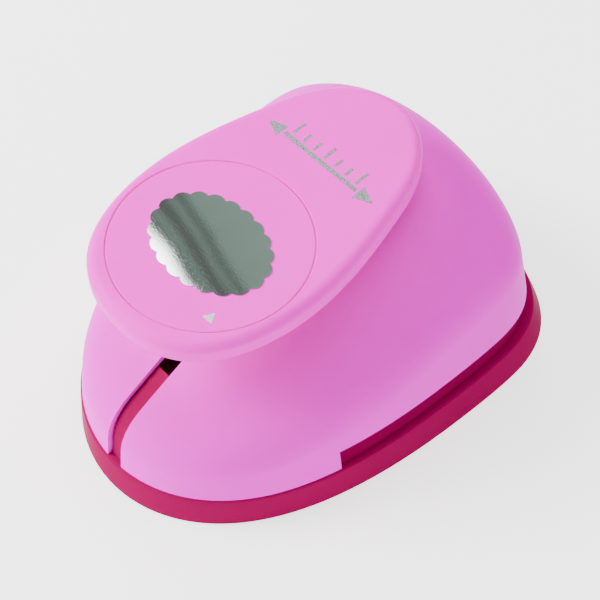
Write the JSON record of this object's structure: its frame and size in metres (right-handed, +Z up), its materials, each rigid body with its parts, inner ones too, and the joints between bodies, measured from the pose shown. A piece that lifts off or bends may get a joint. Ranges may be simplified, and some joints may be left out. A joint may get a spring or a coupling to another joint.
{
  "type": "lever paper shape punch",
  "caption": "Large lever-operated paper punch: domed plastic housing on a flared base, wide press lever, and a sprung punch and die that cut a scalloped oval",
  "frame": {"origin": "on the table under the middle of the base's bounding box", "axes": "+X to the user's right, +Y from the pressed nose to the paper mouth at the back, +Z up"},
  "size_m": [0.11, 0.147, 0.0782],
  "materials": {
    "base_plastic": "glossy dark raspberry moulded plastic",
    "housing_plastic": "satin pink moulded plastic",
    "lever_plastic": "satin light pink moulded plastic",
    "silver_foil": "mirror silver hot-stamped foil",
    "cast_zinc": "die-cast zinc alloy, satin grey",
    "steel": "ground steel",
    "die_steel": "ground and hardened steel plate",
    "screw_steel": "zinc-plated steel",
    "spring_steel": "bright drawn spring wire"
  },
  "bodies": {
    "body": {"base_tray": "base_plastic", "housing_shell": "housing_plastic", "guide_block": "cast_zinc", "gap_spacer": "steel", "die_plate": "die_steel", "clamp_screws": "screw_steel", "front_housing_screws": "screw_steel", "rear_housing_screws": "screw_steel", "pivot_pin": "steel", "pivot_clips": "steel", "return_spring_front_left": "spring_steel", "return_spring_front_right": "spring_steel", "return_spring_rear_left": "spring_steel", "return_spring_rear_right": "spring_steel"},
    "lever": {"lever_paddle": "lever_plastic", "motif_disc": "lever_plastic", "motif_foil": "silver_foil", "lever_cover": "lever_plastic", "lever_arm": "cast_zinc", "arm_screws": "screw_steel"},
    "punch": {"punch_head": "die_steel", "punch_riser": "cast_zinc", "punch_carrier": "cast_zinc", "carrier_screws": "screw_steel", "roller": "steel", "roller_pin": "steel"}
  },
  "joints": [
    {"name": "lever_pivot", "type": "hinge", "parent": "body", "child": "lever", "pos_m": [0, 0.04, 0.054], "axis": [1, 0, 0], "range_deg": [0, 10], "stiffness_Nm_per_rad": 2, "springref_deg": -20.05},
    {"name": "punch_slide", "type": "slide", "parent": "body", "child": "punch", "axis": [0, 0, -1], "range_m": [0, 0.0064], "stiffness_N_per_m": 200, "springref_m": -0.004, "deforming": ["return_spring_front_left", "return_spring_front_right", "return_spring_rear_left", "return_spring_rear_right"]}
  ],
  "couplings": [
    {"joint": "punch_slide", "follows": "lever_pivot", "m_per_rad": 0.036}
  ]
}
